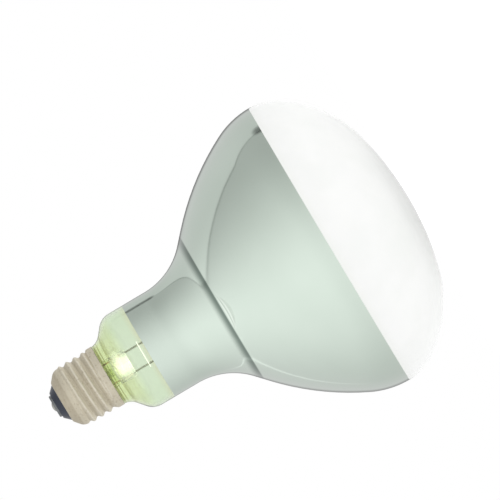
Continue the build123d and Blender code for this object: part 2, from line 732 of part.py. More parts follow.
def arc_tube_pieces():
    """The quartz tube and everything sealed in it."""
    rod = ELECTRODE_DIAMETER / 2
    pin = PIN_DIAMETER / 2
    void_top = BODY_TOP - ARC_TUBE_WALL
    void_base = BODY_BASE + ARC_TUBE_WALL
    upper_tip = void_top - ELECTRODE_REACH
    lower_tip = void_base + ELECTRODE_REACH
    upper_coil = upper_tip + COIL_SETBACK
    lower_coil = lower_tip - COIL_SETBACK - ELECTRODE_COIL_LENGTH
    sealed = {
        "main_electrode_upper": post(MAIN_OFFSET, 0, rod, upper_tip, UPPER_FOIL_BASE),
        "main_electrode_lower": post(0, 0, rod, LOWER_FOIL_TOP, lower_tip),
        "starting_probe": post(PROBE_OFFSET, 0, PROBE_DIAMETER / 2, void_top - PROBE_REACH, UPPER_FOIL_BASE),
        "main_foil_upper": foil(MAIN_OFFSET, MAIN_FOIL_WIDTH, UPPER_FOIL_BASE),
        "probe_foil": foil(PROBE_OFFSET, PROBE_FOIL_WIDTH, UPPER_FOIL_BASE),
        "main_foil_lower": foil(0, MAIN_FOIL_WIDTH, LOWER_FOIL_BASE),
        "main_pin_upper": post(MAIN_OFFSET, 0, pin, UPPER_FOIL_TOP, PIN_TOP),
        "probe_pin": post(PROBE_OFFSET, 0, pin, UPPER_FOIL_TOP, PROBE_PIN_TOP),
        "main_pin_lower": post(0, 0, pin, LOWER_PIN_END, LOWER_FOIL_BASE),
    }
    quartz = arc_tube()
    for piece in sealed.values():
        quartz -= piece
    coils = {
        "electrode_coil_upper": electrode_coil(MAIN_OFFSET, upper_coil),
        "electrode_coil_lower": electrode_coil(0, lower_coil),
    }
    return {"arc_tube": quartz, **sealed, **coils}


def cap_pieces(lead):
    """The screw cap with its insulator, contact, solder and cement."""
    shell = screw_shell()
    return {
        "screw_shell": shell,
        "cap_insulator": cap_insulator(),
        "centre_contact": centre_contact(),
        "contact_solder": contact_solder(),
        "side_solder": side_solder(shell, lead),
        "basing_cement": basing_cement(lead),
    }


leads = lead_pieces()
lamp = {
    **glass_pieces(leads),
    **leads,
    **mount_pieces(),
    **arc_tube_pieces(),
    **cap_pieces(leads["outer_lead_side"]),
}
os.makedirs("parts", exist_ok=True)
for name, solid in lamp.items():
    export_step(solid, f"parts/{name}.step")
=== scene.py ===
import json
import math

import bpy
from mathutils import Matrix, Vector


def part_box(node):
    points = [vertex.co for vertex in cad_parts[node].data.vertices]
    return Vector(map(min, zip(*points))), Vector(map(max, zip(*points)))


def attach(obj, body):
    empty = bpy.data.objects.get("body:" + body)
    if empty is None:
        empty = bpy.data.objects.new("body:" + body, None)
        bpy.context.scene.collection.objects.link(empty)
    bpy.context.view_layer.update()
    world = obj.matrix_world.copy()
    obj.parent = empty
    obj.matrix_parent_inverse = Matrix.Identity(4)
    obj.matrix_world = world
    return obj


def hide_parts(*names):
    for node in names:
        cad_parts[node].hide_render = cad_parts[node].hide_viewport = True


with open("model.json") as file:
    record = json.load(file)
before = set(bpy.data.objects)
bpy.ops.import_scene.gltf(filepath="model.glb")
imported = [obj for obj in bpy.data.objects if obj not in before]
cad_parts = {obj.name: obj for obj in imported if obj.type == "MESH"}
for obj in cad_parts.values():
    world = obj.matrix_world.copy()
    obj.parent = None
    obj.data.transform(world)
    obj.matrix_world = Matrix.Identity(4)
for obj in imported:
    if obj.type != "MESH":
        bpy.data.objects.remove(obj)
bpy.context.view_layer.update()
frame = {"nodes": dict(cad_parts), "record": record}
MM = 0.001

# Where the photograph shows the lamp, in pixels of its 500 x 500 frame
IMAGE_SIZE = 500
RIM_PIXEL = (329.0, 244.0)
PIXELS_PER_METRE = 2485.0
AXIS_ANGLE = math.radians(30.7)

# The camera, in metres apart from its sensor, which is 36 mm wide
CAMERA_DISTANCE = 9.0
CAMERA_HEIGHT = 0.001
CAMERA_REACH = 100.0
SENSOR_WIDTH = 36.0

# The bulb's outline, with the sizes of the solids
WALL = 1.0 * MM
COAT = 0.1 * MM
FACE_CROWN_RADIUS = 124.0 * MM
FACE_MIDDLE_RADIUS = 48.4 * MM
FACE_RIM_RADIUS = 23.8 * MM
FACE_RIM_TURN = math.radians(34.2)
CONE_RIM_RADIUS = 36.3 * MM
CONE_RIM_TURN = math.radians(26.5)
FLANK_ANGLE = math.radians(47.5)
FLANK_LENGTH = 6.9 * MM
NECK_FLARE_RADIUS = 28.1 * MM
NECK_RADIUS = 21.2 * MM
NECK_LENGTH = 16.9 * MM
COATED_NECK_LENGTH = 10.7 * MM
SHOULDER_RADIUS = 7.5 * MM
SHOULDER_SLOPE = math.radians(50)
SEAT_CURVE_RADIUS = 6.5 * MM
SEAT_RADIUS = 13.15 * MM
SEAL_RADIUS = 11.3 * MM
SEAL_STEP = 0.8 * MM
SEAL_HEIGHT = 8.5 * MM
SEAL_TAPER = 2.5 * MM
FILM_GAP = 0.02 * MM
BULB_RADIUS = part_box("bulb_envelope")[1][0]

# The cap's rolled shell
CREST_RADIUS = 13.2 * MM
THREAD_DEPTH = 1.1 * MM
THREAD_PITCH = 3.629 * MM
THREAD_TOP = 157.0 * MM
SHEET = 0.2 * MM
COLLAR_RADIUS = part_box("screw_shell")[1][0]
COLLAR_HEIGHT = 2.1 * MM
COLLAR_STEP = 0.9 * MM
TAPER_RADIUS = 4.0 * MM
TAPER_SLOPE = math.radians(50)
LIP_RADIUS = 1.2 * MM
CAP_HOLE_RADIUS = 8.4 * MM
CAP_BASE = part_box("screw_shell")[0][2]

# The thread's run-out and start in turns, and its rows of vertices in each turn
THREAD_RUN_OUT = 0.35
THREAD_PHASE = 0.43
THREAD_ROWS = 18

# How finely the new meshes are divided, which radius counts as none and from where edges stay sharp
TURN_STEP = math.radians(2.5)
RUN_STEP = 1.5 * MM
SEGMENTS = 192
ON_AXIS = 1e-7
SHARP_ANGLE = math.radians(40)

# The light that throws the shadow, in metres and watts
KEY_PLACE = (0.2, 0.5, 2.1)
KEY_SIZE = 0.7
KEY_POWER = 4.5

# Light from the world and the floor, the darker ceiling seen through glass, and the floor's reach in metres
FRONT_FILL = 1.02
BACK_FILL = 0.60
CEILING_RISE = (0.3, 0.7)
CEILING_DEPTH = 0.6
FLOOR_REACH = 30.0
FLOOR_GLOW = 0.34
SEEN_FLOOR_GLOW = 0.27

# The mirrored tent is brightest just beside the front and slopes down to a quieter panel on each side,
# with each turn as half the angle round from the front
FRONT_LEVEL = 1.035
MINUS_X_LEVEL = 0.685
PLUS_X_LEVEL = 0.52
BRIGHTEST_TURN = math.radians(-9)
SLOPE_START = math.radians(-70)
SLOPE_END = math.radians(50)

# The dark seam on the tent's +X side, and the slightly brighter panel behind it
PLUS_SIDE = (0.05, 0.35)
DARK_SEAM_PLANE = (-0.33, 1.0, 0.0)
DARK_SEAM_MIDDLE = 0.11
DARK_SEAM_HALF_WIDTH = 0.022
DARK_SEAM_RISE = (0.1, 0.5)
DARK_SEAM_DEPTHS = (0.12, 0.24)
BACK_PANEL_EDGE = (0.10, 0.14)
BACK_PANEL_LIFT = 0.15

# The light seam on the tent's -X side
MINUS_SIDE = (-0.2, -0.4)
LIGHT_SEAM_PLANE = (1.0, 0.36, 0.0)
LIGHT_SEAM_MIDDLE = -0.25
LIGHT_SEAM_HALF_WIDTH = 0.016
LIGHT_SEAM_RISE = (0.2, 0.5)
LIGHT_SEAM_FALL = (0.85, 0.93)
LIGHT_SEAM_LIFT = 0.34

# Darker parts of the tent: straight behind the lamp, in the corner behind its +X side and low down
BEHIND_EDGE = (0.93, 0.985)
BEHIND_DEPTH = 0.30
CORNER_WAY = (0.89, 0.45, 0.03)
CORNER_EDGE = (0.992, 0.9985)
CORNER_DEPTH = 0.45
LOW_RISE = (0.05, 0.5)
LOW_SHARE = 0.94


class Outline:
    """Points (radius, height) of a smooth outline, drawn by arcs and straight runs."""

    def __init__(self, start, heading):
        self.points = [Vector(start)]
        self.heading = heading

    def arc(self, radius, turn):
        """A smooth arc: left for a positive turn."""
        steps = max(2, math.ceil(abs(turn) / TURN_STEP))
        side = 1 if turn > 0 else -1
        centre = self.points[-1] + side * radius * self.direction(self.heading + math.pi / 2)
        for step in range(1, steps + 1):
            angle = self.heading + turn * step / steps - side * math.pi / 2
            self.points.append(centre + radius * self.direction(angle))
        self.heading += turn
        return self

    def run(self, length):
        """A straight run."""
        steps = max(1, math.ceil(length / RUN_STEP))
        start = self.points[-1]
        for step in range(1, steps + 1):
            self.points.append(start + self.direction(self.heading) * length * step / steps)
        return self

    def to(self, *places):
        """Straight to each place in turn."""
        self.points += [Vector(place) for place in places]
        return self

    @staticmethod
    def direction(angle):
        """The unit vector at an angle."""
        return Vector((math.cos(angle), math.sin(angle)))


def arc_drop(radius, turn):
    """How far an arc moves an outline sideways."""
    return radius * (1 - math.cos(turn))


RIM_COSINE = math.cos(FACE_RIM_TURN)
CROWN_TURN = math.asin(
    (BULB_RADIUS - FACE_MIDDLE_RADIUS * RIM_COSINE - FACE_RIM_RADIUS * (1 - RIM_COSINE))
    / (FACE_CROWN_RADIUS - FACE_MIDDLE_RADIUS)
)
CONE_BELLY_RADIUS = (
    BULB_RADIUS
    - NECK_RADIUS
    - arc_drop(CONE_RIM_RADIUS, CONE_RIM_TURN)
    - FLANK_LENGTH * math.sin(FLANK_ANGLE)
    - arc_drop(NECK_FLARE_RADIUS, FLANK_ANGLE)
) / (math.cos(CONE_RIM_TURN) - math.cos(FLANK_ANGLE))
SHOULDER_LENGTH = (
    NECK_RADIUS
    - SEAT_RADIUS
    - arc_drop(SHOULDER_RADIUS, SHOULDER_SLOPE)
    - arc_drop(SEAT_CURVE_RADIUS, SHOULDER_SLOPE)
) / math.sin(SHOULDER_SLOPE)


def face_side(inset):
    """The face's outline from its middle to the widest line."""
    side = Outline((0, inset), 0).arc(FACE_CROWN_RADIUS - inset, CROWN_TURN)
    side.arc(FACE_MIDDLE_RADIUS - inset, math.pi / 2 - CROWN_TURN - FACE_RIM_TURN)
    return side.arc(FACE_RIM_RADIUS - inset, FACE_RIM_TURN)


RIM_HEIGHT = face_side(0).points[-1].y


def cone_side(inset, neck_length):
    """The cone's outline from the widest line along the neck."""
    side = Outline((BULB_RADIUS - inset, RIM_HEIGHT), math.pi / 2)
    side.arc(CONE_RIM_RADIUS - inset, CONE_RIM_TURN)
    side.arc(CONE_BELLY_RADIUS - inset, FLANK_ANGLE - CONE_RIM_TURN).run(FLANK_LENGTH)
    return side.arc(NECK_FLARE_RADIUS + inset, -FLANK_ANGLE).run(neck_length)


FILM_EDGE = cone_side(0, COATED_NECK_LENGTH).points[-1].y
NECK_END = cone_side(0, NECK_LENGTH).points[-1].y
FLANK_MIDDLE = (
    RIM_HEIGHT
    + CONE_RIM_RADIUS * math.sin(CONE_RIM_TURN)
    + CONE_BELLY_RADIUS * (math.sin(FLANK_ANGLE) - math.sin(CONE_RIM_TURN))
    + FLANK_LENGTH * math.cos(FLANK_ANGLE) / 2
)


def neck_side(inset):
    """The clear neck's outline from the film's edge to the seat under the cap."""
    side = Outline((NECK_RADIUS - inset, FILM_EDGE + FILM_GAP), math.pi / 2)
    side.run(NECK_END - FILM_EDGE - FILM_GAP).arc(SHOULDER_RADIUS - inset, SHOULDER_SLOPE)
    return side.run(SHOULDER_LENGTH).arc(SEAT_CURVE_RADIUS + inset, -SHOULDER_SLOPE)


def lathe(name, points, closed=True):
    """A smooth mesh turned from an outline; a closed one also joins its end to its start."""
    vertices = []
    rows = []
    for radius, height in points:
        if radius < ON_AXIS:
            rows.append([len(vertices)] * SEGMENTS)
            vertices.append((0, 0, height))
            continue
        rows.append(list(range(len(vertices), len(vertices) + SEGMENTS)))
        for index in range(SEGMENTS):
            angle = 2 * math.pi * index / SEGMENTS
            vertices.append((radius * math.cos(angle), radius * math.sin(angle), height))
    return mesh_from_rows(name, vertices, rows, closed)


def mesh_from_rows(name, vertices, rows, closed):
    """A mesh object whose rows of vertices are joined by faces, with smooth shading."""
    faces = []
    pairs = list(zip(rows, rows[1:])) + ([(rows[-1], rows[0])] if closed else [])
    for low, high in pairs:
        for index in range(SEGMENTS):
            after = (index + 1) % SEGMENTS
            corners = (low[index], low[after], high[after], high[index])
            face = tuple(dict.fromkeys(corners))
            if len(face) > 2:
                faces.append(face)
    mesh = bpy.data.meshes.new(name)
    mesh.from_pydata(vertices, [], faces)
    mesh.polygons.foreach_set("use_smooth", [True] * len(mesh.polygons))
    mesh.set_sharp_from_angle(angle=SHARP_ANGLE)
    piece = bpy.data.objects.new(name, mesh)
    bpy.context.scene.collection.objects.link(piece)
    return piece


def dress(piece, finish, slot, *nodes):
    """Gives a new piece its material and its body, and hides the solids that it stands for; the slot is not
    used.
    """
    piece.data.materials.append(finish)
    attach(piece, "root")
    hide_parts(*nodes)


# The Mix node's inputs for a factor and two colours, and its output for a colour
MIX_INPUTS = (0, 6, 7)
MIX_OUTPUT = 2


class Nodes:
    """Short ways to add shader nodes to a material or world."""

    def __init__(self, tree):
        self.tree = tree

    def add(self, kind, inputs=None, **settings):
        """A node with its settings, and with each input linked or set."""
        node = self.tree.nodes.new(kind)
        for name, value in settings.items():
            setattr(node, name, value)
        for name, value in (inputs or {}).items():
            self.feed(node.inputs[name], value)
        return node

    def feed(self, socket, value):
        """Links an output to an input, or sets the input's value."""
        if isinstance(value, bpy.types.NodeSocket):
            self.tree.links.new(value, socket)
        else:
            socket.default_value = value

    def place(self):
        """Object coordinates in metres."""
        return self.add("ShaderNodeTexCoord").outputs["Object"]

    def axes(self, vector):
        """The x, y and z of a vector."""
        parts = self.add("ShaderNodeSeparateXYZ", {"Vector": vector})
        return [parts.outputs[name] for name in "XYZ"]

    def height(self):
        """The height above the floor in metres."""
        return self.axes(self.place())[2]

    def noise(self, scale, detail=3.0, roughness=0.5, vector=None):
        """Soft random marks between 0 and 1."""
        inputs = {"Scale": scale, "Detail": detail, "Roughness": roughness}
        inputs["Vector"] = vector or self.place()
        return self.add("ShaderNodeTexNoise", inputs).outputs["Fac"]

    def span(self, value, low, high, start=0.0, end=1.0, smooth=True):
        """Maps a value from one range to another, held at both ends."""
        kind = "SMOOTHSTEP" if smooth else "LINEAR"
        inputs = {"Value": value, "From Min": low, "From Max": high, "To Min": start, "To Max": end}
        return self.add("ShaderNodeMapRange", inputs, interpolation_type=kind).outputs["Result"]

    def math(self, operation, first, second=0.0):
        """One step of arithmetic on one or two values."""
        node = self.add("ShaderNodeMath", {0: first, 1: second}, operation=operation)
        return node.outputs[0]

    def product(self, first, *others):
        """All the values multiplied."""
        for other in others:
            first = self.math("MULTIPLY", first, other)
        return first

    def dot(self, vector, other):
        """The dot product of two vectors."""
        node = self.add("ShaderNodeVectorMath", {0: vector, 1: other}, operation="DOT_PRODUCT")
        return node.outputs["Value"]

    def line(self, value, middle, half_width, strength=1.0):
        """A soft line: full strength at its middle and none past its half width."""
        off = self.math("ABSOLUTE", self.math("SUBTRACT", value, middle))
        return self.span(off, 0.0, half_width, strength, 0.0)

    def mix(self, factor, first, second):
        """Mixes two colours."""
        node = self.add("ShaderNodeMix", data_type="RGBA")
        for index, value in zip(MIX_INPUTS, (factor, first, second)):
            self.feed(node.inputs[index], value)
        return node.outputs[MIX_OUTPUT]

    def bump(self, height, strength, distance):
        """A normal that shows relief of the given distance."""
        inputs = {"Height": height, "Strength": strength, "Distance": distance}
        return self.add("ShaderNodeBump", inputs).outputs["Normal"]


def material(name):
    """An empty material with its Principled shader."""
    made = bpy.data.materials.new(name)
    made.use_nodes = True
    shader = made.node_tree.nodes["Principled BSDF"]
    return made, Nodes(made.node_tree), shader


def connect(nodes, shader, **sockets):
    """Links outputs or sets values on a shader's inputs, with spaces for underscores."""
    for name, value in sockets.items():
        nodes.feed(shader.inputs[name.replace("_", " ")], value)


def colour(red, green, blue):
    """A colour with full alpha, from linear parts."""
    return (red, green, blue, 1.0)


WHITE = colour(1, 1, 1)

# Where in the noise the marks of a finish start and end, for soft and firm edges and for sparse specks
SOFT = (0.3, 0.7)
FIRM = (0.35, 0.65)
SPARSE = (0.56, 0.68)

# The painted dark reflection ring on the film, standing in for the dark band the mirror shows at the flank:
# where it rises and falls, from the middle of the flank
PAINTED_RING_RISE = (FLANK_MIDDLE - 1.0 * MM, FLANK_MIDDLE - 0.4 * MM)
PAINTED_RING_FALL = (FLANK_MIDDLE - 0.2 * MM, FLANK_MIDDLE + 3.0 * MM)
PAINTED_RING_STRENGTH = 0.9
PAINTED_RING_SHADE = colour(0.12, 0.17, 0.14)

# Painted reflections of creases in the film beside the painted dark ring, the pale ones painted highlights
# and the dark ones painted shade: bow, half length, half width, strength and tone
CREASE_PAINTED_HIGHLIGHT = colour(0.93, 0.97, 0.91)
CREASE_PAINTED_SHADE = colour(0.30, 0.36, 0.28)
CREASES = [
    (0.5 * MM, 9.0 * MM, 0.4 * MM, 0.45, CREASE_PAINTED_HIGHLIGHT),
    (1.1 * MM, 9.5 * MM, 0.4 * MM, 0.32, CREASE_PAINTED_SHADE),
    (1.7 * MM, 10.5 * MM, 0.5 * MM, 0.45, CREASE_PAINTED_HIGHLIGHT),
    (2.3 * MM, 9.0 * MM, 0.6 * MM, 0.26, CREASE_PAINTED_SHADE),
    (2.9 * MM, 8.0 * MM, 0.6 * MM, 0.2, CREASE_PAINTED_SHADE),
]

# What all creases share: the x of their middle, the height of their ends, where they fade as shares of the
# squared half length, their gain before that, and the y values between which they end behind the front
CREASE_MIDDLE = -2.0 * MM
CREASE_TOP = FLANK_MIDDLE - 0.9 * MM
CREASE_FADE = (0.05, 0.8)
CREASE_GAIN = 1.6
CREASE_FRONT = (-12.0 * MM, -6.0 * MM)


def crease(nodes, bow, half_length, half_width, strength):
    """A thin bowed line of painted reflection on the front of the film, just below the painted dark ring.
    """
    x, y, z = nodes.axes(nodes.place())
    along = nodes.math("SUBTRACT", x, CREASE_MIDDLE)
    square = nodes.product(along, along)
    limit = half_length * half_length
    bend = nodes.span(square, 0.0, limit, bow, 0.0, smooth=False)
    line = nodes.line(z, nodes.math("SUBTRACT", CREASE_TOP, bend), half_width, strength)
    full, gone = (share * limit for share in CREASE_FADE)
    length = nodes.span(square, full, gone, CREASE_GAIN, 0.0)
    front = nodes.span(y, *CREASE_FRONT, 1.0, 0.0)
    return nodes.product(line, nodes.noise(scale=300.0), length, front)


def reflector_material():
    """Bright metal film seen through glass, with a painted dark reflection ring where the cone leans in
    most.
    """
    made, nodes, shader = material("reflector_film")
    height = nodes.height()
    # A painted dark reflection, mixed into the film's colour as a ring
    painted_ring = nodes.product(nodes.span(height, *PAINTED_RING_RISE), nodes.span(height, *PAINTED_RING_FALL, 1.0, 0.0))
    cloud = nodes.span(nodes.noise(scale=35.0, detail=4.0), *SOFT)
    film = nodes.mix(cloud, colour(0.675, 0.775, 0.69), colour(0.70, 0.80, 0.715))
    tone = nodes.mix(nodes.product(painted_ring, PAINTED_RING_STRENGTH), film, PAINTED_RING_SHADE)
    # Painted highlights and painted shade along the creases, mixed into the film's colour
    for *measures, shade in CREASES:
        tone = nodes.mix(crease(nodes, *measures), tone, shade)
    ripple = nodes.bump(nodes.noise(scale=60.0, detail=2.0), strength=0.08, distance=0.4 * MM)
    connect(nodes, shader, Base_Color=tone, Metallic=1.0, Roughness=0.08, Normal=ripple)
    connect(nodes, shader, Coat_Weight=0.5, Coat_Roughness=0.03, Coat_IOR=1.5)
    return made


# The frosting's greener edge, and the painted glow on its inner side that stands in for the light it passes
# on
FROST_EDGE_WIDTH = 4.0 * MM
FROST_EDGE_STRENGTH = 0.25
INNER_SIDE = (0.0, 0.2)
PAINTED_INNER_GLOW = 0.8


def frosting_material():
    """White diffusing film under clear glass, with a painted glow on its inner side standing in for the
    light that passes through.
    """
    made, nodes, shader = material("white_frosting")
    cloud = nodes.span(nodes.noise(scale=45.0, detail=5.0), *FIRM)
    white = nodes.mix(cloud, colour(0.90, 0.91, 0.895), colour(0.93, 0.935, 0.925))
    edge_start = RIM_HEIGHT - FROST_EDGE_WIDTH
    edge = nodes.span(nodes.height(), edge_start, RIM_HEIGHT, 0.0, FROST_EDGE_STRENGTH)
    tone = nodes.mix(edge, white, colour(0.84, 0.86, 0.80))
    grain = nodes.bump(nodes.noise(scale=900.0), strength=0.05, distance=0.05 * MM)
    upward = nodes.axes(nodes.add("ShaderNodeNewGeometry").outputs["Normal"])[2]
    # Painted glow on the inner side, standing in for light passed through the frosting
    painted_inner_glow = nodes.span(upward, *INNER_SIDE, 0.0, PAINTED_INNER_GLOW)
    connect(nodes, shader, Base_Color=tone, Roughness=0.55, Normal=grain)
    connect(nodes, shader, Emission_Color=colour(1.0, 1.0, 0.97), Emission_Strength=painted_inner_glow)
    connect(nodes, shader, Coat_Weight=0.8, Coat_Roughness=0.05, Coat_IOR=1.7)
    return made


def clear_glass(name, tint):
    """Clear glass with a faint tint and the slight waves of blown glass."""
    made, nodes, shader = material(name)
    waves = nodes.bump(nodes.noise(scale=90.0, detail=1.0), strength=0.06, distance=0.3 * MM)
    connect(nodes, shader, Base_Color=tint, Roughness=0.02, IOR=1.5)
    connect(nodes, shader, Transmission_Weight=1.0, Normal=waves)
    return made


# The neck's glass: its yellow end, the browner patches beside the film, and painted dark lines by height
# and half width, standing in for refraction in the curved thick glass near the cap
YELLOW_LENGTH = 9.0 * MM
BROWN_PATCH_LENGTH = 3.0 * MM
BROWN_PATCH_STRENGTH = 0.8
PAINTED_REFRACTION_LINES = [(136.2 * MM, 0.45 * MM), (138.6 * MM, 0.3 * MM), (139.9 * MM, 0.9 * MM)]
PAINTED_LINE_STRENGTH = 0.75
GLASS_DENSITY = 110.0


def neck_glass():
    """Soda glass of the neck: tinted by its depth, yellower where it narrows towards the cap."""
    made, nodes, shader = material("bulb_glass")
    height = nodes.height()
    near_cap = nodes.span(height, NECK_END, NECK_END + YELLOW_LENGTH)
    tint = nodes.mix(near_cap, colour(0.85, 0.90, 0.82), colour(0.87, 0.91, 0.69))
    # Browner patches in the tint just beside the film's edge
    beside_film = nodes.span(height, FILM_EDGE, FILM_EDGE + BROWN_PATCH_LENGTH, 1.0, 0.0)
    brown_patches = nodes.product(beside_film, nodes.noise(scale=60.0), BROWN_PATCH_STRENGTH)
    tint = nodes.mix(brown_patches, tint, colour(0.84, 0.80, 0.68))
    # Painted dark lines: shade standing in for refraction in the thick curved glass
    for middle, half_width in PAINTED_REFRACTION_LINES:
        painted_line = nodes.line(height, middle, half_width, PAINTED_LINE_STRENGTH)
        tint = nodes.mix(painted_line, tint, colour(0.40, 0.40, 0.16))
    waves = nodes.bump(nodes.noise(scale=90.0, detail=1.0), strength=0.10, distance=0.3 * MM)
    connect(nodes, shader, Base_Color=tint, Roughness=0.02, IOR=1.5)
    connect(nodes, shader, Transmission_Weight=1.0, Normal=waves)
    absorbed = {"Color": colour(0.55, 0.80, 0.30), "Density": GLASS_DENSITY}
    depth = nodes.add("ShaderNodeVolumeAbsorption", absorbed)
    output = made.node_tree.nodes["Material Output"]
    nodes.feed(output.inputs["Volume"], depth.outputs[0])
    return made


# The stem's press: its middle, where it starts and ends, the strength of its folds, the bright heart of its
# painted glow round its middle with its levels inside and outside, how rough and how clear plain and
# pressed glass is, and the strength of the painted glow that stands in for the press's highlight
PRESS_MIDDLE = (0, 0, 133.4 * MM)
PRESS_START = (129.5 * MM, 131.5 * MM)
PRESS_END = (134.5 * MM, 138.0 * MM)
PRESS_FOLDS = (0.6, 1.0)
GLOW_HEART = (2.5 * MM, 6.5 * MM)
GLOW_HEART_LEVELS = (1.0, 0.25)
PRESS_ROUGHNESS = (0.02, 0.35)
PRESS_CLEARNESS = (1.0, 0.1)
PRESS_PAINTED_GLOW = 0.8


def pressed_glass():
    """Clear stem glass, milky with folds and bubbles where it was pressed on the wires, with a painted glow
    round the press's middle standing in for its bright highlight.
    """
    made, nodes, shader = material("stem_glass")
    height = nodes.height()
    folds = nodes.span(nodes.noise(scale=420.0, detail=4.0), *FIRM, *PRESS_FOLDS)
    press = nodes.product(nodes.span(height, *PRESS_START), nodes.span(height, *PRESS_END, 1.0, 0.0))
    milk = nodes.product(press, folds)
    tint = nodes.mix(milk, colour(0.90, 0.94, 0.78), colour(0.96, 0.98, 0.90))
    places = {0: nodes.place(), 1: PRESS_MIDDLE}
    away = nodes.add("ShaderNodeVectorMath", places, operation="DISTANCE").outputs["Value"]
    glow_heart = nodes.span(away, *GLOW_HEART, *GLOW_HEART_LEVELS)
    rough = nodes.span(milk, 0.0, 1.0, *PRESS_ROUGHNESS, smooth=False)
    clear = nodes.span(milk, 0.0, 1.0, *PRESS_CLEARNESS, smooth=False)
    relief = nodes.bump(nodes.noise(scale=600.0), strength=0.3, distance=0.2 * MM)
    # Painted glow in the milky press, brightest round its middle, standing in for its highlight
    glow = nodes.product(milk, glow_heart, PRESS_PAINTED_GLOW)
    connect(nodes, shader, Base_Color=tint, Roughness=rough, IOR=1.5)
    connect(nodes, shader, Transmission_Weight=clear, Normal=relief)
    connect(nodes, shader, Emission_Color=colour(0.98, 1.0, 0.96), Emission_Strength=glow)
    return made


# Metals of the kept solids: base, darker tone, roughness and scale of the marks
METALS = {
    "nickel_wire": (colour(0.58, 0.56, 0.50), colour(0.34, 0.33, 0.30), 0.32, 900),
    "copper_wire": (colour(0.80, 0.46, 0.30), colour(0.50, 0.26, 0.16), 0.35, 900),
    "molybdenum": (colour(0.50, 0.50, 0.51), colour(0.34, 0.34, 0.36), 0.35, 900),
    "tungsten": (colour(0.32, 0.32, 0.33), colour(0.18, 0.18, 0.19), 0.45, 1200),
    "solder": (colour(0.42, 0.42, 0.38), colour(0.26, 0.26, 0.24), 0.38, 500),
    "contact_metal": (colour(0.26, 0.27, 0.27), colour(0.15, 0.16, 0.17), 0.40, 500),
}

# Mottled finishes of the kept solids: two tones, roughness and scale, and for mica coat and a painted glow
# that stands in for the light on its edge
MOTTLED = {
    "white_ceramic": (colour(0.84, 0.83, 0.79), colour(0.74, 0.72, 0.67), 0.6, 400),
    "cement": (colour(0.60, 0.52, 0.36), colour(0.42, 0.36, 0.24), 0.85, 500),
    "black_glass": (colour(0.008, 0.014, 0.030), colour(0.012, 0.020, 0.040), 0.25, 200),
    "mica": (colour(0.97, 0.97, 0.90), colour(0.90, 0.90, 0.78), 0.3, 300, 0.6, 1.2),
}


# How a metal varies: its marks and clouds, how many marks make a cloud's width, and its roughness
MARK_STRENGTH = 0.5
CLOUD_STRENGTH = 0.35
CLOUD_MARKS = 12
ROUGHNESS_SWING = (0.85, 1.2)


def metal_material(name, base, dark, roughness, scale):
    """Metal with a cloudy tone and fine marks."""
    made, nodes, shader = material(name)
    marks = nodes.span(nodes.noise(scale, detail=5.0, roughness=0.6), *SOFT)
    clouds = nodes.span(nodes.noise(scale / CLOUD_MARKS, detail=2.0), *FIRM)
    tone = nodes.mix(nodes.product(marks, MARK_STRENGTH), base, dark)
    tone = nodes.mix(nodes.product(clouds, CLOUD_STRENGTH), tone, dark)
    least, most = (roughness * swing for swing in ROUGHNESS_SWING)
    rough = nodes.span(marks, 0.0, 1.0, least, most, smooth=False)
    relief = nodes.bump(marks, strength=0.15, distance=0.03 * MM)
    connect(nodes, shader, Base_Color=tone, Metallic=1.0, Roughness=rough, Normal=relief)
    return made


# How much finer a mottled finish is in its relief than in its tone
GRAIN_FINENESS = 3


def mottled_material(name, base, other, roughness, scale, coat=0.0, glow=0.0):
    """Ceramic, cement, dark glass or mica with a mottled tone."""
    made, nodes, shader = material(name)
    mottle = nodes.span(nodes.noise(scale, detail=4.0), *FIRM)
    relief = nodes.bump(nodes.noise(scale * GRAIN_FINENESS), strength=0.2, distance=0.05 * MM)
    tone = nodes.mix(mottle, base, other)
    connect(nodes, shader, Base_Color=tone, Roughness=roughness, Normal=relief, Coat_Weight=coat)
    # Emission: a painted glow, used only by the mica
    connect(nodes, shader, Emission_Color=base, Emission_Strength=glow)
    return made


# The cap's finish: the strength of its marks, clouds and specks, the stretch of its marks, how far the
# painted shade in its grooves and the painted highlight on its crests reach and how strong they are, and
# its roughness
CAP_MARK_STRENGTH = 0.35
CAP_CLOUD_STRENGTH = 0.35
SPECK_STRENGTH = 0.4
MARK_STRETCH = (0.6, 0.6, 4)
GROOVE_SHADE_TOP = CREST_RADIUS - 0.7 * THREAD_DEPTH
GROOVE_SHADE_STRENGTH = 0.4
CREST_HIGHLIGHT_FOOT = CREST_RADIUS - 0.12 * THREAD_DEPTH
CREST_HIGHLIGHT_STRENGTH = 0.35
COLLAR_TOP = CAP_BASE + COLLAR_HEIGHT
CAP_ROUGHNESS = (0.42, 0.6)


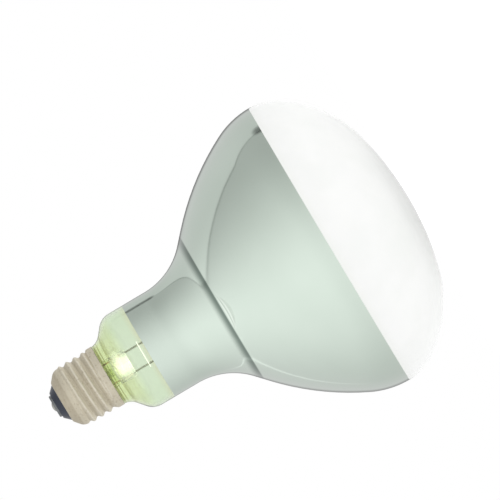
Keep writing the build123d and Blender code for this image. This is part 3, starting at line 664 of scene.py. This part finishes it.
def cap_material():
    """Matte nickel washed brass, with painted shade in the thread's grooves and a painted highlight on its
    crests.
    """
    made, nodes, shader = material("cap_metal")
    x, y, z = nodes.axes(nodes.place())
    radius = nodes.math("SQRT", nodes.math("ADD", nodes.product(x, x), nodes.product(y, y)))
    stretch = nodes.add("ShaderNodeMapping", {"Vector": nodes.place(), "Scale": MARK_STRETCH})
    noise = nodes.noise(scale=420, detail=6.0, roughness=0.7, vector=stretch.outputs[0])
    marks = nodes.span(noise, *SOFT)
    worn = nodes.product(marks, CAP_MARK_STRENGTH)
    tone = nodes.mix(worn, colour(0.69, 0.64, 0.51), colour(0.50, 0.45, 0.34))
    clouds = nodes.span(nodes.noise(scale=22, detail=2.0), *FIRM, 0.0, CAP_CLOUD_STRENGTH)
    tone = nodes.mix(clouds, tone, colour(0.50, 0.45, 0.35))
    # Painted shade in the thread's grooves, darker towards their roots
    groove_shade = nodes.span(radius, CREST_RADIUS - THREAD_DEPTH, GROOVE_SHADE_TOP, GROOVE_SHADE_STRENGTH, 0.0)
    tone = nodes.mix(groove_shade, tone, colour(0.34, 0.29, 0.20))
    # Painted highlight on the thread's crests, above the collar
    crest_highlight = nodes.span(radius, CREST_HIGHLIGHT_FOOT, CREST_RADIUS, 0.0, CREST_HIGHLIGHT_STRENGTH)
    above_collar = nodes.span(z, COLLAR_TOP, COLLAR_TOP + COLLAR_STEP)
    tone = nodes.mix(nodes.product(crest_highlight, above_collar), tone, colour(0.86, 0.82, 0.72))
    specks = nodes.span(nodes.noise(scale=1100, detail=2.0), *SPARSE)
    tone = nodes.mix(nodes.product(specks, SPECK_STRENGTH), tone, colour(0.36, 0.30, 0.20))
    rough = nodes.span(marks, 0.0, 1.0, *CAP_ROUGHNESS, smooth=False)
    relief = nodes.bump(marks, strength=0.15, distance=0.03 * MM)
    connect(nodes, shader, Base_Color=tone, Metallic=0.6, Roughness=rough, Normal=relief)
    return made


def thread_swing(turns, length):
    """How far the thread swings in and out at a place along it, fading at both ends."""
    from_end = max(0.0, min(turns, length - turns, THREAD_RUN_OUT))
    return THREAD_DEPTH / 2 * (1 - math.cos(math.pi * from_end / THREAD_RUN_OUT)) / 2


def shell_rows(offset):
    """Rows (height, radius, swing, turns) of one side of the rolled shell, from rim to hole."""
    middle = CREST_RADIUS - THREAD_DEPTH / 2
    start = COLLAR_TOP + COLLAR_STEP / 2
    length = (THREAD_TOP - start) / THREAD_PITCH
    rows = [(height, COLLAR_RADIUS - offset, 0, 0) for height in (CAP_BASE, COLLAR_TOP)]
    count = math.ceil(length * THREAD_ROWS)
    for step in range(1, count):
        turns = length * step / count
        height = start + turns * THREAD_PITCH
        joggle = max(0.0, 1 - (height - start) / COLLAR_STEP)
        radius = middle + (COLLAR_RADIUS - middle) * (1 - math.cos(math.pi * joggle)) / 2
        rows.append((height, radius - offset, thread_swing(turns, length), turns))
    taper = Outline((middle - offset, THREAD_TOP), math.pi / 2)
    taper.arc(TAPER_RADIUS - offset, TAPER_SLOPE)
    lip_drop = (LIP_RADIUS - offset) * math.cos(TAPER_SLOPE)
    taper.run((taper.points[-1].x - CAP_HOLE_RADIUS - lip_drop) / math.sin(TAPER_SLOPE))
    taper.arc(LIP_RADIUS - offset, math.pi / 2 - TAPER_SLOPE)
    rows += [(point.y, point.x, 0, 0) for point in taper.points]
    return rows


def rolled_shell():
    """The cap's thin shell, with the same round thread rolled through both sides."""
    vertices = []
    rows = []
    sides = shell_rows(0) + shell_rows(SHEET)[::-1]
    for height, radius, swing, turns in sides:
        rows.append(list(range(len(vertices), len(vertices) + SEGMENTS)))
        for index in range(SEGMENTS):
            angle = 2 * math.pi * index / SEGMENTS
            reach = radius + swing * math.cos(angle - 2 * math.pi * (turns + THREAD_PHASE))
            vertices.append((reach * math.cos(angle), reach * math.sin(angle), height))
    return mesh_from_rows("rolled_shell", vertices, rows, closed=True)


def aim_camera():
    """A long lens just above the floor, rolled so that the lamp lies as photographed."""
    right = Vector((-math.sin(AXIS_ANGLE), 0, -math.cos(AXIS_ANGLE)))
    up = Vector((math.cos(AXIS_ANGLE), 0, -math.sin(AXIS_ANGLE)))
    across = IMAGE_SIZE / 2 - RIM_PIXEL[0]
    upward = RIM_PIXEL[1] - IMAGE_SIZE / 2
    middle = Vector((0, 0, RIM_HEIGHT)) + (right * across + up * upward) / PIXELS_PER_METRE
    place = Vector((middle.x, -CAMERA_DISTANCE, CAMERA_HEIGHT))
    back = (place - middle).normalized()
    right = (right - back * right.dot(back)).normalized()
    up = back.cross(right)
    camera = bpy.data.cameras.new("camera")
    camera.sensor_width = SENSOR_WIDTH
    camera.lens = SENSOR_WIDTH * CAMERA_DISTANCE * PIXELS_PER_METRE / IMAGE_SIZE
    camera.clip_end = CAMERA_REACH
    holder = bpy.data.objects.new("camera", camera)
    rows = [(right[axis], up[axis], back[axis], place[axis]) for axis in range(3)]
    holder.matrix_world = Matrix(rows + [(0, 0, 0, 1)])
    bpy.context.scene.collection.objects.link(holder)
    bpy.context.scene.camera = holder


def key_light():
    """A soft light behind and above the lamp, for its shadow on the floor."""
    light = bpy.data.lights.new("key", "AREA")
    light.size = KEY_SIZE
    light.energy = KEY_POWER
    holder = bpy.data.objects.new("key", light)
    holder.location = KEY_PLACE
    holder.rotation_euler = Vector(KEY_PLACE).to_track_quat("Z", "Y").to_euler()
    holder.visible_glossy = False
    bpy.context.scene.collection.objects.link(holder)


def tent_level(nodes, way, x, y, z):
    """How bright the mirrored tent is in each direction."""
    turn = nodes.math("ARCTAN2", x, nodes.math("SUBTRACT", 1.0, y))
    rise = nodes.span(turn, SLOPE_START, BRIGHTEST_TURN, MINUS_X_LEVEL, FRONT_LEVEL)
    fall = nodes.span(turn, BRIGHTEST_TURN, SLOPE_END, 0.0, FRONT_LEVEL - PLUS_X_LEVEL)
    plus_side = nodes.span(x, *PLUS_SIDE)
    seam = nodes.dot(way, DARK_SEAM_PLANE)
    seam_line = nodes.line(seam, DARK_SEAM_MIDDLE, DARK_SEAM_HALF_WIDTH)
    seam_depth = nodes.span(z, *DARK_SEAM_RISE, *DARK_SEAM_DEPTHS)
    dark_seam = nodes.product(plus_side, seam_line, seam_depth)
    back_panel = nodes.product(plus_side, nodes.span(seam, *BACK_PANEL_EDGE), BACK_PANEL_LIFT)
    light_seam = nodes.product(
        nodes.span(x, *MINUS_SIDE),
        nodes.line(nodes.dot(way, LIGHT_SEAM_PLANE), LIGHT_SEAM_MIDDLE, LIGHT_SEAM_HALF_WIDTH),
        nodes.span(z, *LIGHT_SEAM_RISE),
        nodes.span(z, *LIGHT_SEAM_FALL, 1.0, 0.0),
        LIGHT_SEAM_LIFT,
    )
    behind = nodes.span(y, *BEHIND_EDGE, 0.0, BEHIND_DEPTH)
    corner = nodes.span(nodes.dot(way, CORNER_WAY), *CORNER_EDGE, 0.0, CORNER_DEPTH)
    level = nodes.math("SUBTRACT", rise, fall)
    for brighter in (back_panel, light_seam):
        level = nodes.math("ADD", level, brighter)
    for darker in (dark_seam, behind, corner):
        level = nodes.math("SUBTRACT", level, darker)
    return nodes.product(level, nodes.span(z, *LOW_RISE, LOW_SHARE, 1.0))


def background(nodes, strength):
    """White light from the world, as strong as given."""
    return nodes.add("ShaderNodeBackground", {"Strength": strength, "Color": WHITE}).outputs[0]


def tent_world():
    """A pale light tent for mirrored rays, white paper for seen ones and a soft fill for the rest."""
    world = bpy.data.worlds.new("tent")
    world.use_nodes = True
    bpy.context.scene.world = world
    nodes = Nodes(world.node_tree)
    way = nodes.add("ShaderNodeTexCoord").outputs["Generated"]
    x, y, z = nodes.axes(way)
    ray = nodes.add("ShaderNodeLightPath")
    through = ray.outputs["Is Transmission Ray"]
    tent = background(nodes, tent_level(nodes, way, x, y, z))
    soft = background(nodes, nodes.span(y, -1.0, 1.0, FRONT_FILL, BACK_FILL, smooth=False))
    ceiling = nodes.product(nodes.span(z, *CEILING_RISE, 0.0, CEILING_DEPTH), through)
    paper = background(nodes, nodes.math("SUBTRACT", 1.0, ceiling))
    seen = nodes.math("MAXIMUM", ray.outputs["Is Camera Ray"], through)
    lit = nodes.add("ShaderNodeMixShader", {"Fac": ray.outputs["Is Glossy Ray"], 1: soft, 2: tent})
    blend = nodes.add("ShaderNodeMixShader", {"Fac": seen, 1: lit.outputs[0], 2: paper})
    nodes.feed(world.node_tree.nodes["World Output"].inputs["Surface"], blend.outputs[0])


def pale_floor():
    """A wide white floor under the lamp's face."""
    mesh = bpy.data.meshes.new("floor")
    corners = [(x * FLOOR_REACH, y * FLOOR_REACH, 0) for x, y in ((-1, -1), (1, -1), (1, 1), (-1, 1))]
    mesh.from_pydata(corners, [], [(0, 1, 2, 3)])
    floor = bpy.data.objects.new("floor", mesh)
    bpy.context.scene.collection.objects.link(floor)
    made, nodes, shader = material("floor_paper")
    fibre = nodes.span(nodes.noise(scale=400.0, detail=2.0), *SOFT)
    seen = nodes.add("ShaderNodeLightPath").outputs["Is Camera Ray"]
    paper = nodes.mix(fibre, colour(0.80, 0.80, 0.80), colour(0.82, 0.82, 0.82))
    paper = nodes.mix(seen, paper, nodes.mix(fibre, colour(0.99, 0.99, 0.99), WHITE))
    glow = nodes.span(seen, 0.0, 1.0, FLOOR_GLOW, SEEN_FLOOR_GLOW, smooth=False)
    connect(nodes, shader, Base_Color=paper, Roughness=0.9, Specular_IOR_Level=0.0)
    connect(nodes, shader, Emission_Color=WHITE, Emission_Strength=glow)
    mesh.materials.append(made)


def frosted_face():
    """The white face of the one blown bulb."""
    outline = face_side(0).points + face_side(WALL + COAT).points[::-1]
    piece = lathe("frosted_face", outline, closed=False)
    dress(piece, frosting_material(), "white_frosting", "face_frosting")


def silvered_cone():
    """The silvered cone of the one blown bulb, with the coated start of its neck."""
    outside, inside = (cone_side(inset, COATED_NECK_LENGTH).points for inset in (0, WALL + COAT))
    piece = lathe("silvered_cone", outside + inside[::-1])
    dress(piece, reflector_material(), "reflector_film", "reflector_coating")


def clear_neck():
    """The clear end of the one blown bulb, with the narrow tube that seals it in the cap."""
    outside = neck_side(0)
    seat = outside.points[-1].y
    outside.to((SEAT_RADIUS, seat + SEAL_STEP / 2), (SEAL_RADIUS, seat + SEAL_STEP))
    outside.to((SEAL_RADIUS, seat + SEAL_HEIGHT), (SEAL_RADIUS - WALL, seat + SEAL_HEIGHT))
    outside.to((SEAL_RADIUS - WALL, seat + SEAL_TAPER))
    piece = lathe("clear_neck", outside.points + neck_side(WALL).points[::-1])
    dress(piece, neck_glass(), "bulb_glass", "bulb_envelope")


def cap_shell():
    """The rolled screw shell."""
    dress(rolled_shell(), cap_material(), "cap_metal", "screw_shell")


def finish_nodes():
    """Materials for the pieces that keep the solids' own shape."""
    finishes = {slot: metal_material(slot, *look) for slot, look in METALS.items()}
    finishes |= {slot: mottled_material(slot, *look) for slot, look in MOTTLED.items()}
    finishes["stem_glass"] = pressed_glass()
    finishes["quartz"] = clear_glass("quartz", colour(0.95, 0.96, 0.96))
    for part in frame["record"]["subparts"]:
        finish = finishes.get(part["material_slot"])
        if finish:
            frame["nodes"][part["node"]].material_slots[0].material = finish


bpy.context.scene.view_settings.view_transform = "Standard"
aim_camera()
tent_world()
pale_floor()
key_light()
frosted_face()
silvered_cone()
clear_neck()
cap_shell()
finish_nodes()
